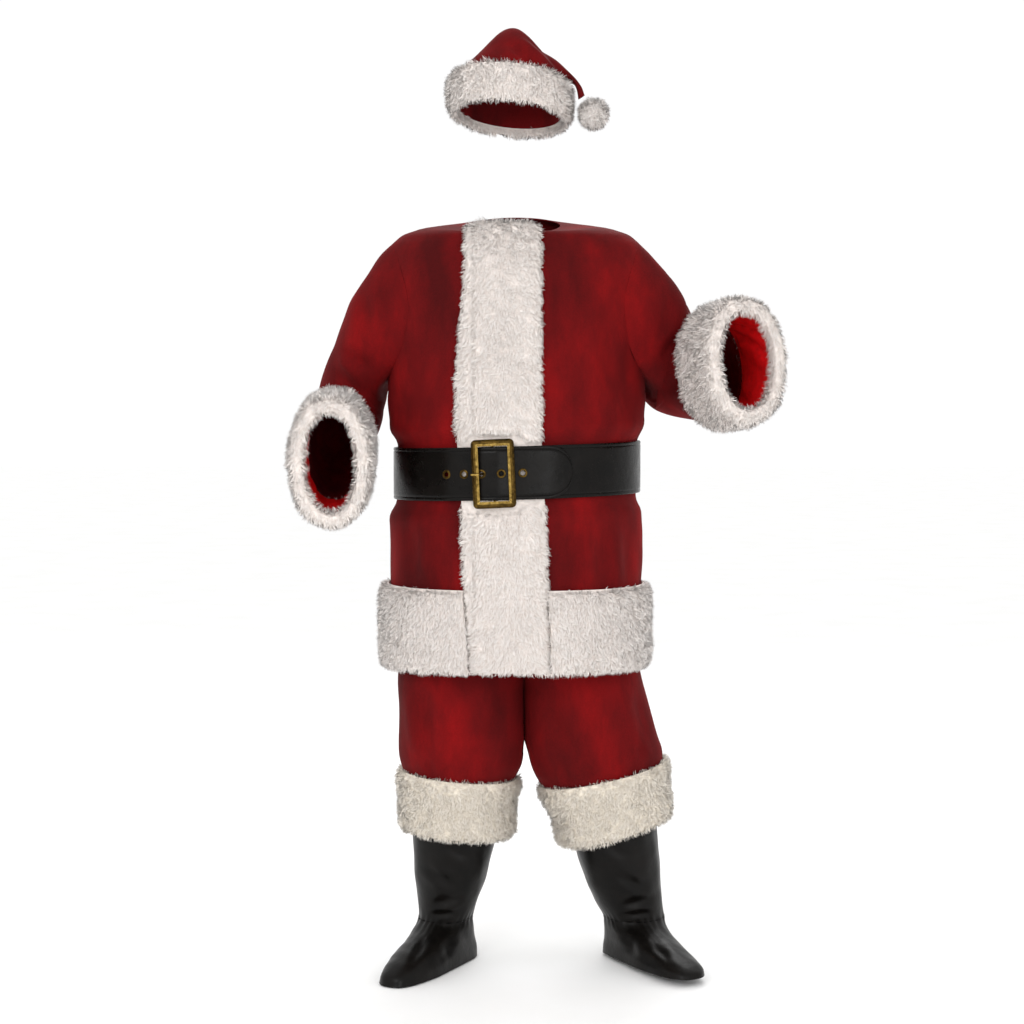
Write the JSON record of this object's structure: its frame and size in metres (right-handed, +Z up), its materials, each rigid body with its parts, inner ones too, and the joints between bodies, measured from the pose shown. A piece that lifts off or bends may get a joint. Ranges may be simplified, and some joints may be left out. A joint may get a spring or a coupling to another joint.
{
  "type": "santa suit",
  "caption": "Santa suit in worn pose: red velvet jacket and trousers with white fur trims, wide black belt with brass buckle, black boot tops and a fur-banded hat.",
  "frame": {"origin": "centre of the jacket's neck opening, on the shoulder line", "axes": "+Z up along the wearer's spine, -Y towards the wearer's front, +X towards the wearer's left"},
  "size_m": [0.9477, 0.5021, 1.8649],
  "materials": {
    "velvet_red": "crimson velvet with a soft nap",
    "satin_red": "bright red satin lining",
    "fur_white": "warm white plush fur",
    "fur_cream": "cream plush fur",
    "vinyl_black": "black grained vinyl, half gloss",
    "brass_antique": "antique brass plate, worn bright on the edges",
    "elastic_red": "red cased elastic"
  },
  "bodies": {
    "root": {"jacket_front_right": "velvet_red", "jacket_front_left": "velvet_red", "jacket_back": "velvet_red", "sleeve_front_right": "velvet_red", "sleeve_back_right": "velvet_red", "sleeve_front_left": "velvet_red", "sleeve_back_left": "velvet_red", "trouser_front_right": "velvet_red", "trouser_front_left": "velvet_red", "trouser_back_right": "velvet_red", "trouser_back_left": "velvet_red", "hat_crown": "velvet_red", "cuff_lining_right": "satin_red", "cuff_lining_left": "satin_red", "placket_fur": "fur_white", "hem_fur_right": "fur_white", "hem_fur_left": "fur_white", "hem_fur_back": "fur_white", "cuff_fur_right": "fur_white", "cuff_fur_left": "fur_white", "hat_band_fur": "fur_white", "hat_pompom": "fur_white", "trouser_cuff_fur_right": "fur_cream", "trouser_cuff_fur_left": "fur_cream", "belt_strap": "vinyl_black", "boot_shaft_right": "vinyl_black", "boot_shaft_left": "vinyl_black", "boot_foot_right": "vinyl_black", "boot_foot_left": "vinyl_black", "buckle_frame": "brass_antique", "buckle_bar": "brass_antique", "buckle_prong": "brass_antique", "eyelet_1": "brass_antique", "eyelet_2": "brass_antique", "eyelet_3": "brass_antique", "eyelet_4": "brass_antique", "eyelet_5": "brass_antique", "waistband": "elastic_red"}
  },
  "joints": []
}
